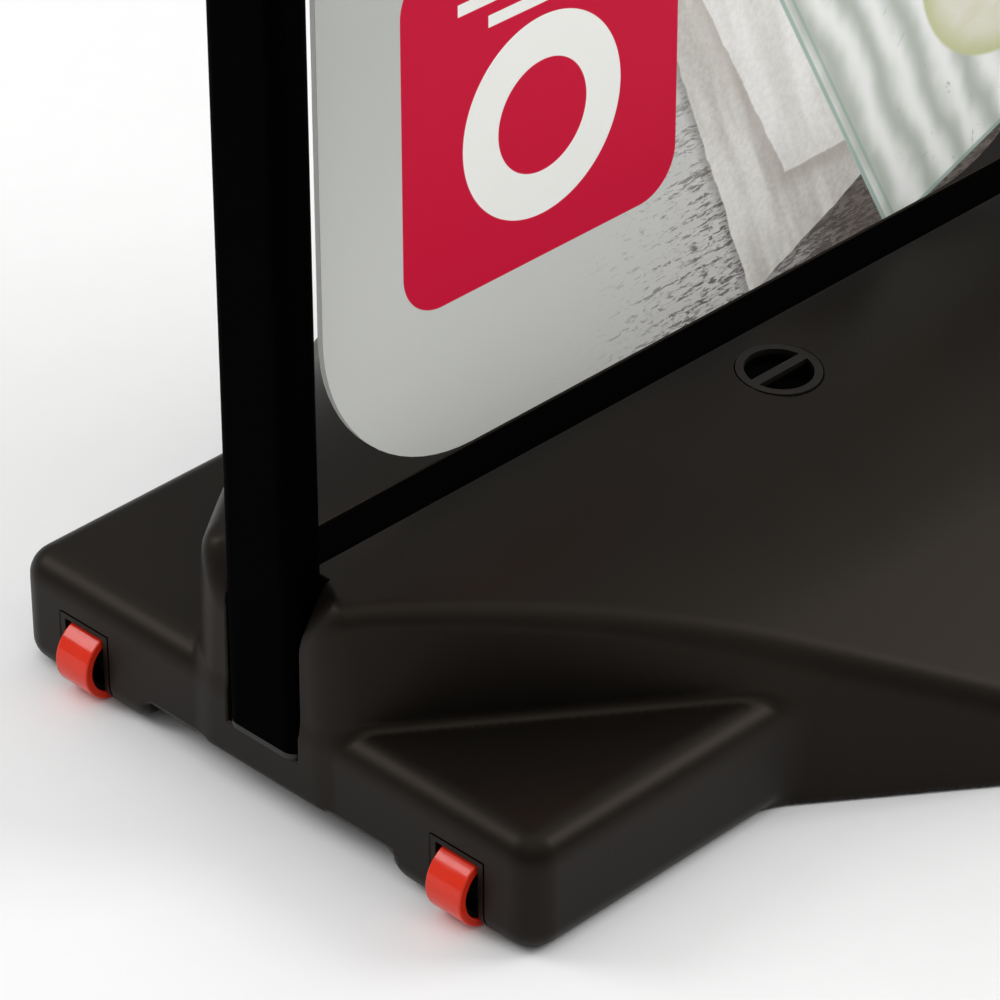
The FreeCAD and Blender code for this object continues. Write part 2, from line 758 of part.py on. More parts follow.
def make_filler():
    """Round plug with a grip bar across its recess, and the ring that seals it."""
    flange = cylinder("plug_flange", "plug_flange_radius", "plug_flange_thickness",
                      ("0", "0", "-plug_flange_thickness"))
    barrel = cylinder("plug_barrel", "plug_thread_radius", "plug_length", ("0", "0", "-plug_length"))
    recess = cylinder("plug_recess", "plug_recess_radius", "plug_recess_depth + 1",
                      ("0", "0", "-plug_recess_depth"))
    bar = box("plug_bar", ("-plug_flange_radius", "-plug_bar_half_width", "-plug_recess_depth - 1"),
              ("plug_flange_radius", "plug_bar_half_width", "2"))
    plug = cut("plug", join("plug_solid", [flange, barrel]), [cut("plug_hollow", recess, [bar])])
    node(lean_to_roof(plug), "filler_plug")
    seal = doc.addObject("Part::Torus", "seal")
    bind(seal, "Radius1", "seal_ring_radius")
    bind(seal, "Radius2", "seal_radius")
    node(lean_to_roof(seal, "plug_flange_thickness + seal_radius"), "plug_seal")


def clamp_places():
    """Where the bolts that clamp the board go through it."""
    return [(f"{middle} + {side} * clamp_bolt_spacing / 2", "clamp_bolt_height")
            for _, middle in HANGERS for side in (-1, 1)]


def make_sheet(name, thickness, middle_y):
    """Flat sheet of the board's outline, with the holes of the clamp bolts."""
    body = new_body(name)
    section = new_sketch(body, f"{name}_section", "XZ_Plane")
    rounded_rectangle(section, ("-panel_half_width", "panel_bottom"),
                      ("panel_half_width", "panel_bottom + panel_height"), "panel_corner_radius")
    for x, z in clamp_places():
        circle(section, x, z, "clamp_bolt_radius + bolt_clearance")
    extrude(body, section, thickness, both_ways=True)
    place(body, y=middle_y)
    node(body, name)


def make_board():
    """Board with a printed sheet on each face."""
    make_sheet("sign_panel", "panel_thickness", "0")
    poster_y = "(panel_thickness + poster_thickness) / 2"
    make_sheet("poster_front", "poster_thickness", f"-{poster_y}")
    make_sheet("poster_rear", "poster_thickness", poster_y)


STRAP_INSIDE = "(panel_thickness / 2 + poster_thickness)"


def make_hanger(label, middle):
    """One hinge: bracket, pin, bush and the strap that carries the board."""
    half = "strap_width / 2"
    start = (f"{middle} - {half}", "0", "hinge_height")
    eye = cylinder(f"strap_eye_{label}", "bush_radius + strap_thickness", "strap_width", start, "x")
    legs = []
    for face, side in (("front", -1), ("rear", 1)):
        inner = f"{side} * {STRAP_INSIDE}"
        outer = f"{side} * ({STRAP_INSIDE} + strap_thickness)"
        low_y, high_y = (outer, inner) if side < 0 else (inner, outer)
        legs.append(box(f"strap_leg_{face}_{label}", (f"{middle} - {half}", low_y, "strap_bottom"),
                        (f"{middle} + {half}", high_y, "hinge_height")))
    tools = [cylinder(f"strap_bore_{label}", "bush_radius", "strap_width", start, "x")]
    for index, side in enumerate((-1, 1)):
        place_of_hole = (f"{middle} + {side} * clamp_bolt_spacing / 2", "-10", "clamp_bolt_height")
        tools.append(cylinder(f"strap_hole_{label}_{index}", "clamp_bolt_radius + bolt_clearance", "20",
                              place_of_hole, "y"))
    strap = cut(f"strap_{label}", join(f"strap_solid_{label}", [eye] + legs), tools)
    node(strap, f"hanger_strap_{label}")
    bush = ring(f"bush_{label}", "bush_radius", "pin_radius + bush_clearance", "strap_width", start, "x")
    node(bush, f"hinge_bush_{label}")

    under = "hoop_top - tube_width"
    plate = box(f"bracket_plate_{label}",
                (f"{middle} - bracket_plate_half_length", "-bracket_half_depth", f"{under} - bracket_wall"),
                (f"{middle} + bracket_plate_half_length", "bracket_half_depth", under))
    gap = "(strap_width / 2 + bracket_gap)"
    cheeks = []
    for index, side in enumerate((-1, 1)):
        near = f"{middle} + {side} * {gap}"
        far = f"{middle} + {side} * ({gap} + bracket_wall)"
        low_x, high_x = (far, near) if side < 0 else (near, far)
        cheeks.append(box(f"bracket_cheek_{label}_{index}",
                          (low_x, "-bracket_half_depth", "hinge_height - bracket_cheek_drop"),
                          (high_x, "bracket_half_depth", under)))
    pin_start = f"{middle} - {gap} - bracket_wall"
    holes = [cylinder(f"bracket_pin_hole_{label}", "pin_radius", f"2 * {gap} + 2 * bracket_wall",
                      (pin_start, "0", "hinge_height"), "x")]
    for index, side in enumerate((-1, 1)):
        start = (f"{middle} + {side} * bracket_screw_offset", "0", f"{under} - bracket_wall")
        holes.append(cylinder(f"bracket_hole_{label}_{index}", "bracket_screw_radius + bolt_clearance",
                              "bracket_wall", start))
    node(cut(f"bracket_{label}", join(f"bracket_solid_{label}", [plate] + cheeks), holes),
         f"hinge_bracket_{label}")

    shaft_length = f"2 * {gap} + 2 * bracket_wall + pin_end"
    shaft = cylinder(f"pin_shaft_{label}", "pin_radius", shaft_length, (pin_start, "0", "hinge_height"), "x")
    head = cylinder(f"pin_head_{label}", "pin_head_radius", "pin_head_thickness",
                    (f"{pin_start} - pin_head_thickness", "0", "hinge_height"), "x")
    node(join(f"pin_{label}", [shaft, head]), f"hinge_pin_{label}")
    clip_start = (f"{middle} + {gap} + bracket_wall", "0", "hinge_height")
    return ring(f"clip_{label}", "pin_head_radius", "pin_radius", "clip_thickness", clip_start, "x")


def make_hangers():
    node(join("clip_pair", [make_hanger(label, middle) for label, middle in HANGERS]), "hinge_clips")


def make_bracket_screws():
    screws = []
    under = "hoop_top - tube_width - bracket_wall"
    for index, x in enumerate(screw_places()):
        shank = cylinder(f"screw_shank_{index}", "bracket_screw_radius", "bracket_screw_length",
                         (x, "0", under))
        head = cylinder(f"screw_head_{index}", "bracket_screw_head_radius", "bracket_screw_head_height",
                        (x, "0", f"{under} - bracket_screw_head_height"))
        screws.append(join(f"screw_{index}", [shank, head]))
    node(join("screw_set", screws), "bracket_screws")


def make_clamp_bolts():
    """Bolts through strap and board, with their nuts at the back."""
    bolts = []
    nuts = []
    face = f"({STRAP_INSIDE} + strap_thickness)"
    for index, (x, z) in enumerate(clamp_places()):
        length = f"2 * {face} + nut_height + bolt_end / 2"
        shank = cylinder(f"clamp_shank_{index}", "clamp_bolt_radius", length, (x, f"-{face}", z), "y")
        head = cylinder(f"clamp_head_{index}", "clamp_head_radius", "bolt_head_height",
                        (x, f"-{face} - bolt_head_height", z), "y")
        bolts.append(join(f"clamp_bolt_{index}", [shank, head]))
        nut = hexagon(f"clamp_nut_{index}_solid", "nut_width", "nut_height", (x, face, z), "y")
        bore = cylinder(f"clamp_nut_{index}_bore", "clamp_bolt_radius", "nut_height", (x, face, z), "y")
        nuts.append(cut(f"clamp_nut_{index}", nut, [bore]))
    node(join("clamp_bolt_set", bolts), "clamp_bolts")
    node(join("clamp_nut_set", nuts), "clamp_nuts")


make_tank()
make_ballast()
make_hoop()
make_rail()
make_leg_ends()
make_base_bolts()
make_wheels()
make_filler()
make_board()
make_hangers()
make_bracket_screws()
make_clamp_bolts()

doc.recompute()
for thing in doc.Objects:
    if "Invalid" in thing.State or "Error" in thing.State:
        raise RuntimeError(f"{thing.Label}: {thing.getStatusString()}")
os.makedirs("parts", exist_ok=True)
for thing in nodes:
    shape = thing.Shape
    if shape.isNull() or not shape.isValid():
        raise RuntimeError(f"{thing.Label}: no valid shape")
    shape.exportStep(f"parts/{thing.Label}.step")
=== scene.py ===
"""Looks of a swinging pavement sign: a board in a hoop frame on a weighted, wheeled base. Metres, +Z up."""
import json
import math

import bpy
import numpy as np
from mathutils import Matrix, Vector


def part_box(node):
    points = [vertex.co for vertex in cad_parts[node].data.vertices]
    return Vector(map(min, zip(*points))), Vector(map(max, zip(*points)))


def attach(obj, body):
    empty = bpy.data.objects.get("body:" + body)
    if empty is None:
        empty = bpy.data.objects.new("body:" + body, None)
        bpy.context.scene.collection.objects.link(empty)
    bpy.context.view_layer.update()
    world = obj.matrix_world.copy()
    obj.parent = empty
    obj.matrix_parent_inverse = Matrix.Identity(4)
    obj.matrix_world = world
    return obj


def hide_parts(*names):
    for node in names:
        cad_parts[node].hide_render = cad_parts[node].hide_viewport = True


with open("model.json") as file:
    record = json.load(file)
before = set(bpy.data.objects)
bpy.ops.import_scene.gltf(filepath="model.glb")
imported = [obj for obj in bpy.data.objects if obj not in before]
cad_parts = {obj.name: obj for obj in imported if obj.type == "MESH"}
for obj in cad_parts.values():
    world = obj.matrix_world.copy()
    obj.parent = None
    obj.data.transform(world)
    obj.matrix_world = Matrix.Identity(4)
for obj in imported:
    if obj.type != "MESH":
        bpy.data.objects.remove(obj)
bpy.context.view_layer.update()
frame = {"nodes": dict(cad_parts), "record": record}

MM = 0.001


# ---------------------------------------------------------------- camera, light and floor

CAMERA_PLACE = Vector((-1.83745, -1.6684, 1.6545))
CAMERA_AIM = Vector((-0.35405, -0.1907, 0.2885))
CAMERA_ROLL = math.radians(-0.11)
CAMERA_LENS = 186.4
CAMERA_SENSOR = 36.0


def looking(place, aim):
    """Transform that stands at a place and looks at an aim."""
    return Matrix.Translation(place) @ (aim - place).to_track_quat("-Z", "Y").to_matrix().to_4x4()


def make_camera():
    """Long lens, close on the wheeled end of the base."""
    data = bpy.data.cameras.new("view")
    data.lens = CAMERA_LENS
    data.sensor_width = CAMERA_SENSOR
    data.clip_end = 50
    camera = bpy.data.objects.new("view", data)
    camera.matrix_world = looking(CAMERA_PLACE, CAMERA_AIM) @ Matrix.Rotation(CAMERA_ROLL, 4, "Z")
    bpy.context.collection.objects.link(camera)
    bpy.context.scene.camera = camera


def make_light(name, place, aim, size, power):
    """Square soft box at a place, turned towards its aim."""
    data = bpy.data.lights.new(name, "AREA")
    data.size = size
    data.energy = power
    light = bpy.data.objects.new(name, data)
    light.matrix_world = looking(Vector(place), Vector(aim))
    bpy.context.collection.objects.link(light)


def make_floor():
    """Wide pale floor under everything."""
    half = 12.0
    corners = [(-half, -half, 0), (half, -half, 0), (half, half, 0), (-half, half, 0)]
    mesh = bpy.data.meshes.new("floor")
    mesh.from_pydata(corners, [], [(0, 1, 2, 3)])
    floor = bpy.data.objects.new("floor", mesh)
    bpy.context.collection.objects.link(floor)
    mesh.materials.append(floor_paper())


SKY_AT_HORIZON = 0.30
SKY_OVERHEAD = 1.55
SKY_BRIGHTENS_AT = 0.5


def make_world():
    """Soft dome of white light, brighter overhead than at the horizon."""
    world = bpy.data.worlds.new("studio")
    world.use_nodes = True
    nodes, links = world.node_tree.nodes, world.node_tree.links
    direction = nodes.new("ShaderNodeTexCoord")
    split = nodes.new("ShaderNodeSeparateXYZ")
    height = nodes.new("ShaderNodeMapRange")
    height.inputs["From Min"].default_value = SKY_BRIGHTENS_AT
    height.inputs["To Min"].default_value = SKY_AT_HORIZON
    height.inputs["To Max"].default_value = SKY_OVERHEAD
    links.new(direction.outputs["Generated"], split.inputs[0])
    links.new(split.outputs["Z"], height.inputs["Value"])
    links.new(height.outputs["Result"], nodes["Background"].inputs["Strength"])
    nodes["Background"].inputs["Color"].default_value = (1, 1, 1, 1)
    bpy.context.scene.world = world


# ---------------------------------------------------------------- skin of the base

def round_both(a, b, radius):
    """Distance to what is inside both shapes, with their shared edge rounded."""
    corner = np.hypot(np.maximum(a + radius, 0), np.maximum(b + radius, 0))
    return np.minimum(np.maximum(a, b), -radius) + corner


def round_either(a, b, radius):
    """Distance to what is inside either shape, with a fillet between them."""
    corner = np.hypot(np.maximum(radius - a, 0), np.maximum(radius - b, 0))
    return np.maximum(np.minimum(a, b), radius) - corner


class BaseForm:
    """Outer form of the base, as a distance that is negative inside. Millimetres from its own middle."""

    # crown: a lozenge with blunt ends, its walls drawn in towards the top
    half_length = 345
    draft = math.tan(math.radians(2.5))
    end_draft = math.tan(math.radians(0.4))
    crown_end_half = 56
    flank = math.radians(36.6)
    apex_radius = 100
    crown_corner = 12
    crown_bottom_round = 3

    # roof: flat along the ridge, then an arc, then a straight slope
    ridge = 147
    roof_flat = 30
    roof_radius = 310
    roof_end = math.radians(31)

    # rounding of the roof's edge along the sides and over the ends, and how far one goes over into the other
    roof_round = 11
    roof_end_round = 29
    roof_blend = 30

    # plate with the four feet
    feet_half_length = 344.5
    feet_half_depth = 200.5
    feet_height = 72
    feet_corner = 18
    feet_top_round = 17
    feet_bottom_round = 15
    junction_round = 5.5

    # clear space under the base
    tunnel_half = 96
    tunnel_height = 19
    tunnel_round = 14
    tunnel_corner = 4
    tunnel_edge = 2.5
    tunnel_foot_edge = 8

    # slots for the legs, and the slanting corners beside their mouths
    slot_half = 27.7
    slot_length = 24.6
    slot_floor = 42
    slot_edge = 1.0
    mouth_low = 121
    mouth_length = 17
    mouth_width = 34
    mouth_round = 7

    # channel along the ridge for the lower rail
    channel_half = 13.6
    channel_floor = 119
    channel_edge = 1.2

    # sunk holes for the bolts' heads: radius and top
    bolt_offset = 334.45
    bolt_sink = (8, 25)

    # recesses for the wheels, at the low end of x only
    recess_middle = 145.2
    recess_half = 19.15
    recess_top = 46.75
    recess_end = 298.7
    recess_edge = 0.5

    # filler: radius and depth of the plug's seat and of the neck below it
    filler_offset = 53
    counterbore = (24.8, 4.8)
    neck = (22.4, 36)
    filler_edge = 0.8

    def roof_height(self, depth):
        """Height of the roof this far from the ridge's middle, and the cosine of its slope."""
        bend = self.roof_flat + self.roof_radius * math.sin(self.roof_end)
        along = np.clip(depth - self.roof_flat, 0, bend - self.roof_flat)
        drop = self.roof_radius - np.sqrt(self.roof_radius ** 2 - along ** 2)
        straight = np.maximum(depth - bend, 0) * math.tan(self.roof_end)
        return self.ridge - drop - straight, np.sqrt(1 - (along / self.roof_radius) ** 2)

    def crown(self, x, y, z):
        """Raised middle: a lozenge with blunt ends under a curved roof."""
        sine, cosine = math.sin(self.flank), math.cos(self.flank)
        reach = sine * self.half_length + cosine * self.crown_end_half
        middle = (reach - self.apex_radius) / cosine
        straight = sine * x + cosine * y - reach
        apex = np.hypot(x, y - middle) - self.apex_radius
        side = np.where(x * cosine < (y - middle) * sine, apex, straight) + z * self.draft
        end = x - self.half_length + z * self.end_draft
        wall = round_both(side, end, self.crown_corner)
        height, slope = self.roof_height(y)
        roof = (z - height) * slope
        share = np.clip((end - side) / self.roof_blend + 0.5, 0, 1)
        radius = self.roof_round + (self.roof_end_round - self.roof_round) * share ** 2 * (3 - 2 * share)
        roofed = round_both(wall, roof, radius)
        return round_both(roofed, -z, self.crown_bottom_round)

    def feet(self, x, y, z):
        """Low plate whose four corners are the feet."""
        plan = round_both(x - self.feet_half_length, y - self.feet_half_depth, self.feet_corner)
        topped = round_both(plan, z - self.feet_height, self.feet_top_round)
        return round_both(topped, -z, self.feet_bottom_round)

    def tunnel(self, y, z):
        """Clear space under the base, between its feet."""
        flare = self.tunnel_round - np.sqrt(np.maximum(
            self.tunnel_round ** 2 - np.clip(self.tunnel_round - z, 0, self.tunnel_round) ** 2, 0))
        return round_both(y - self.tunnel_half - flare, z - self.tunnel_height, self.tunnel_corner)

    def filler(self, x, y, z):
        """Round seat of the filler plug in the roof, and the neck below it."""
        tilt = math.asin((self.filler_offset - self.roof_flat) / self.roof_radius)
        top = self.ridge - self.roof_radius * (1 - math.cos(tilt))
        side = y + self.filler_offset
        across = side * math.cos(tilt) + (z - top) * math.sin(tilt)
        up = (z - top) * math.cos(tilt) - side * math.sin(tilt)
        away = np.hypot(x, across)
        holes = [np.maximum(away - radius, -up - depth) for radius, depth in (self.counterbore, self.neck)]
        return np.minimum(*holes)

    def slot(self, x, y, z):
        """Slot that a leg stands in, open at the end and at the top."""
        sides = np.maximum(y - self.slot_half, self.slot_floor - z)
        return np.maximum(sides, self.half_length - self.slot_length - x)

    def mouth(self, x, y, z):
        """Plane that slants off the top corner beside a slot's mouth; positive beyond it."""
        rates = (1 / (self.ridge - self.mouth_low), 1 / self.mouth_length, 1 / self.mouth_width)
        up = (z - self.mouth_low) * rates[0]
        inward = (self.half_length - x) * rates[1]
        aside = np.maximum(y - self.slot_half, 0) * rates[2]
        return (up - inward - aside) / math.hypot(*rates)

    def bolt_hole(self, x, y, z):
        """Sunk hole for a bolt's head."""
        radius, top = self.bolt_sink
        return np.maximum(np.hypot(x - self.bolt_offset, y) - radius, z - top)

    def recess(self, x, y, z):
        """Recess for a wheel and its housing."""
        sides = np.maximum(np.abs(y - self.recess_middle) - self.recess_half, z - self.recess_top)
        return np.maximum(sides, x + self.recess_end)

    def distance(self, x, y, z):
        """Distance to the whole form at each point."""
        across, near = np.abs(x), np.abs(y)
        channel = np.maximum(near - self.channel_half, self.channel_floor - z)
        low = np.clip(1 - z / self.tunnel_height, 0, 1)
        tunnel_edge = self.tunnel_edge + self.tunnel_foot_edge * low
        solid = round_either(self.crown(across, near, z), self.feet(across, near, z), self.junction_round)
        solid = round_both(solid, -self.tunnel(near, z), tunnel_edge)
        solid = round_both(solid, -self.slot(across, near, z), self.slot_edge)
        solid = round_both(solid, self.mouth(across, near, z), self.mouth_round)
        solid = np.maximum(solid, -self.bolt_hole(across, near, z))
        solid = round_both(solid, -channel, self.channel_edge)
        solid = round_both(solid, -self.recess(x, near, z), self.recess_edge)
        return round_both(solid, -self.filler(x, y, z), self.filler_edge)


def grid_lines(low, high, step, fine_places, fine_step=0.8, reach=3.2):
    """Even grid lines, with closer ones around places; a place is (middle, reach, step) or a middle alone."""
    lines = list(np.arange(low, high + step, step))
    for place in fine_places:
        middle, far, small = place if isinstance(place, tuple) else (place, reach, fine_step)
        near = np.arange(middle - far, middle + far + small / 2, small)
        lines = [line for line in lines if abs(line - middle) > far + small / 2] + list(near)
    return np.unique(np.round(lines, 3))


def surface_net(field, lines):
    """Vertices and faces of a field's zero surface on a grid: one vertex in each cell that it crosses."""
    grid = np.stack(np.meshgrid(*lines, indexing="ij"), axis=-1)
    values = field(grid[..., 0], grid[..., 1], grid[..., 2])
    inside = values < 0
    shape = values.shape
    corners = [(i, j, k) for i in (0, 1) for j in (0, 1) for k in (0, 1)]
    count = sum(inside[i:shape[0] - 1 + i, j:shape[1] - 1 + j, k:shape[2] - 1 + k].astype(np.int8)
                for i, j, k in corners)
    mixed = (count > 0) & (count < len(corners))
    cells = np.argwhere(mixed)
    index = np.full(mixed.shape, -1)
    index[mixed] = np.arange(len(cells))
    total = np.zeros((len(cells), 3))
    hits = np.zeros((len(cells), 1))
    for first in corners:
        for second in corners:
            if first >= second or sum(abs(a - b) for a, b in zip(first, second)) != 1:
                continue
            start, end = tuple((cells + first).T), tuple((cells + second).T)
            crossed = (inside[start] != inside[end])[:, None]
            rise = np.where(crossed, (values[start] - values[end])[:, None], 1)
            part = values[start][:, None] / rise
            total += np.where(crossed, grid[start] + (grid[end] - grid[start]) * part, 0)
            hits += crossed
    faces = []
    for axis in range(3):
        one, two = [(1, 2), (2, 0), (0, 1)][axis]
        below, above = [slice(None)] * 3, [slice(None)] * 3
        below[axis], above[axis] = slice(0, -1), slice(1, None)
        edges = np.argwhere(inside[tuple(below)] != inside[tuple(above)])
        step_one, step_two = np.eye(3, dtype=int)[one], np.eye(3, dtype=int)[two]
        around = [edges - step_one - step_two, edges - step_two, edges, edges - step_one]
        quads = np.stack([index[tuple(cell.T)] for cell in around], axis=1)
        outward = inside[tuple(edges.T)]
        quads[~outward] = quads[~outward][:, ::-1]
        faces.append(quads)
    return total / hits, np.concatenate(faces)


def slope_of(field, points, reach=0.02):
    """Direction in which a field grows fastest at each point."""
    columns = []
    for axis in np.eye(3) * reach:
        ahead, behind = (points + axis).T, (points - axis).T
        columns.append((field(*ahead) - field(*behind)) / (2 * reach))
    return np.stack(columns, axis=1)


def settle(field, points, rounds=4, least_slope=0.05, longest_step=1):
    """Slide points onto a field's zero surface, in short steps."""
    for _ in range(rounds):
        slope = slope_of(field, points)
        steep = np.maximum((slope ** 2).sum(axis=1, keepdims=True), least_slope)
        step = slope * field(*points.T)[:, None] / steep
        points = points - np.clip(step, -longest_step, longest_step)
    return points


# the grid's low corner and top, in millimetres, and its steps: even, and fine around the filler
GRID_LOW = (-349.3, -291.3, -3.1)
GRID_TOP = 152
GRID_STEP = 3.6
GRID_STEP_UP = 3.4
FILLER_REACH = 27
FILLER_STEP = 1.5
RIDGE_BAND = (143, 6, 1.2)


def skin_grid(form):
    """Grid lines along x, y and z, closer where the base has crisp edges."""
    low_x, low_y, low_z = GRID_LOW
    slot_end = form.half_length - form.slot_length
    crisp_x = [-slot_end, slot_end, -form.recess_end]
    crisp_y = [side * place for side in (-1, 1) for place in (
        form.recess_middle - form.recess_half, form.recess_middle + form.recess_half,
        form.slot_half, form.channel_half)]
    crisp_z = [form.slot_floor, form.recess_top, form.channel_floor]
    return [
        grid_lines(low_x, -low_x, GRID_STEP, [(0, FILLER_REACH, FILLER_STEP), *crisp_x]),
        grid_lines(low_y, -low_y, GRID_STEP, [(-form.filler_offset, FILLER_REACH, FILLER_STEP), *crisp_y]),
        grid_lines(low_z, GRID_TOP, GRID_STEP_UP, [RIDGE_BAND, *crisp_z]),
    ]


def make_base_skin(material):
    """One smooth moulded skin for the whole base, with its soft fillets."""
    form = BaseForm()
    points, faces = surface_net(form.distance, skin_grid(form))
    points = settle(form.distance, points)
    ground = 0
    points[:, 2] = np.maximum(points[:, 2], ground)
    normals = slope_of(form.distance, points)
    tiny = 1e-6
    normals /= np.maximum(np.linalg.norm(normals, axis=1, keepdims=True), tiny)
    low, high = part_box("base_tank")
    places = points * MM + np.array([(low.x + high.x) / 2, 0, 0])
    mesh = bpy.data.meshes.new("base_skin")
    mesh.from_pydata(places.tolist(), [], faces.tolist())
    mesh.update()
    mesh.shade_smooth()
    mesh.normals_split_custom_set_from_vertices(normals.tolist())
    mesh.materials.append(material)
    skin = bpy.data.objects.new("base_skin", mesh)
    bpy.context.collection.objects.link(skin)
    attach(skin, "base")
    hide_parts("base_tank")


# ---------------------------------------------------------------- materials

class Field:
    """One number at every point of a surface, worked out by shader nodes."""

    def __init__(self, look, socket):
        self.look = look
        self.socket = socket

    def _with(self, kind, *others):
        return self.look.math(kind, self, *others)

    def __add__(self, other):
        return self._with("ADD", other)

    def __sub__(self, other):
        return self._with("SUBTRACT", other)

    def __mul__(self, other):
        return self._with("MULTIPLY", other)

    __radd__ = __add__
    __rmul__ = __mul__

    def __rsub__(self, other):
        return self.look.math("SUBTRACT", other, self)

    def size(self):
        return self._with("ABSOLUTE")

    def at_least(self, other):
        return self._with("MAXIMUM", other)

    def at_most(self, other):
        return self._with("MINIMUM", other)

    def rise(self, start, end):
        """0 before start and 1 after end, smooth in between."""
        node = self.look.add("ShaderNodeMapRange")
        node.interpolation_type = "SMOOTHSTEP"
        self.look.feed(node.inputs["Value"], self)
        low, high = (start, end) if start < end else (end, start)
        node.inputs["From Min"].default_value = low
        node.inputs["From Max"].default_value = high
        node.inputs["To Min"].default_value = 0 if start < end else 1
        node.inputs["To Max"].default_value = 1 if start < end else 0
        return Field(self.look, node.outputs["Result"])


class Look:
    """A material under construction: its nodes, its shader and the place on the object."""

    def __init__(self, name, **settings):
        self.material = bpy.data.materials.new(name)
        self.material.use_nodes = True
        self.tree = self.material.node_tree
        self.shader = self.tree.nodes["Principled BSDF"]
        for key, value in settings.items():
            self.shader.inputs[key.replace("_", " ")].default_value = value
        self.place = self.add("ShaderNodeTexCoord").outputs["Object"]

    def add(self, kind):
        return self.tree.nodes.new(kind)

    def feed(self, socket, thing):
        """Plug a field or a socket in, or set a plain number or colour."""
        if isinstance(thing, Field):
            thing = thing.socket
        if isinstance(thing, bpy.types.NodeSocket):
            self.tree.links.new(thing, socket)
        else:
            socket.default_value = thing

    def math(self, kind, *values):
        node = self.add("ShaderNodeMath")
        node.operation = kind
        for socket, value in zip(node.inputs, values):
            self.feed(socket, value)
        return Field(self, node.outputs[0])

    def length(self, a, b):
        """Distance whose parts along two square directions are a and b."""
        return self.math("SQRT", a * a + b * b)

    def axes(self):
        """The place's x, y and z as fields, in metres."""
        node = self.add("ShaderNodeSeparateXYZ")
        self.feed(node.inputs[0], self.place)
        return [Field(self, socket) for socket in node.outputs]

    def vector(self, x, y, z):
        """Three fields or numbers as one vector."""
        node = self.add("ShaderNodeCombineXYZ")
        for socket, value in zip(node.inputs, (x, y, z)):
            self.feed(socket, value)
        return node.outputs[0]

    def stretched(self, x, y, z):
        """The place, multiplied by a factor along each axis."""
        node = self.add("ShaderNodeVectorMath")
        node.operation = "MULTIPLY"
        self.feed(node.inputs[0], self.place)
        node.inputs[1].default_value = (x, y, z)
        return node.outputs[0]

    def noise(self, scale, detail=2.0, roughness=0.5, place=None, distortion=0.0):
        node = self.add("ShaderNodeTexNoise")
        self.feed(node.inputs["Vector"], place or self.place)
        node.inputs["Scale"].default_value = scale
        node.inputs["Detail"].default_value = detail
        node.inputs["Roughness"].default_value = roughness
        node.inputs["Distortion"].default_value = distortion
        return Field(self, node.outputs["Fac"])

    def blend(self, amount, first, second):
        """Colour that goes from first to second as amount goes from 0 to 1."""
        node = self.add("ShaderNodeMix")
        node.data_type = "RGBA"
        self.feed(node.inputs["Factor"], amount)
        for socket, color in ((node.inputs[6], first), (node.inputs[7], second)):
            self.feed(socket, (*color, 1) if isinstance(color, tuple) else color)
        return node.outputs[2]

    def color(self, color):
        self.feed(self.shader.inputs["Base Color"], color)

    def roughness(self, field):
        self.feed(self.shader.inputs["Roughness"], field)

    def bump(self, height, depth, strength=1.0):
        """Surface relief from a field of 0 to 1, depth metres high."""
        node = self.add("ShaderNodeBump")
        node.inputs["Strength"].default_value = strength
        node.inputs["Distance"].default_value = depth
        self.feed(node.inputs["Height"], height)
        self.feed(self.shader.inputs["Normal"], node.outputs["Normal"])


def floor_paper():
    """Pale studio paper."""
    look = Look("floor_paper", Specular_IOR_Level=0.1)
    grain = look.noise(40, 2, 0.5)
    look.color(look.blend(grain, (0.86, 0.86, 0.86), (0.88, 0.88, 0.88)))
    look.roughness(0.85 + 0.1 * grain)
    return look.material


def moulded_plastic():
    """Dark rotation-moulded plastic: satin, with a fine pebbled skin and faint clouds."""
    look = Look("moulded_plastic", Specular_IOR_Level=0.17, Specular_Tint=(1.0, 0.83, 0.68, 1))
    clouds = look.noise(9, 3, 0.55)
    specks = look.noise(900, 1, 0.5)
    look.color(look.blend(clouds.rise(0.3, 0.75), (0.0042, 0.0034, 0.0027), (0.0060, 0.0049, 0.0039)))
    look.roughness(0.36 + 0.08 * clouds + 0.05 * specks)
    look.bump(look.noise(1400, 2, 0.6) * 0.6 + look.noise(260, 2, 0.5) * 0.4, 0.00006, 0.35)
    return look.material


def black_paint():
    """Powder coat on the frame: near black, matte, with a faint orange peel."""
    look = Look("black_paint", Specular_IOR_Level=0.005)
    peel = look.noise(700, 2, 0.5)
    look.color(look.blend(peel, (0.0002, 0.0002, 0.0002), (0.0005, 0.0005, 0.0005)))
    look.roughness(0.52 + 0.1 * peel)
    look.bump(peel, 0.00004, 0.3)
    return look.material


def cap_plastic():
    """Dark plastic caps under the legs."""
    look = Look("cap_plastic", Specular_IOR_Level=0.4)
    grain = look.noise(900, 2, 0.5)
    look.color(look.blend(grain, (0.009, 0.008, 0.0072), (0.013, 0.0115, 0.0105)))
    look.roughness(0.45 + 0.1 * grain)
    look.bump(grain, 0.00005, 0.3)
    return look.material


def zinc_plate():
    """Zinc-plated steel, with the soft clouds of its plating."""
    look = Look("zinc_plate", Metallic=1.0)
    clouds = look.noise(120, 3, 0.6)
    look.color(look.blend(clouds, (0.50, 0.51, 0.53), (0.66, 0.67, 0.68)))
    look.roughness(0.26 + 0.16 * clouds)
    look.bump(look.noise(2200, 2, 0.5), 0.00002, 0.3)
    return look.material


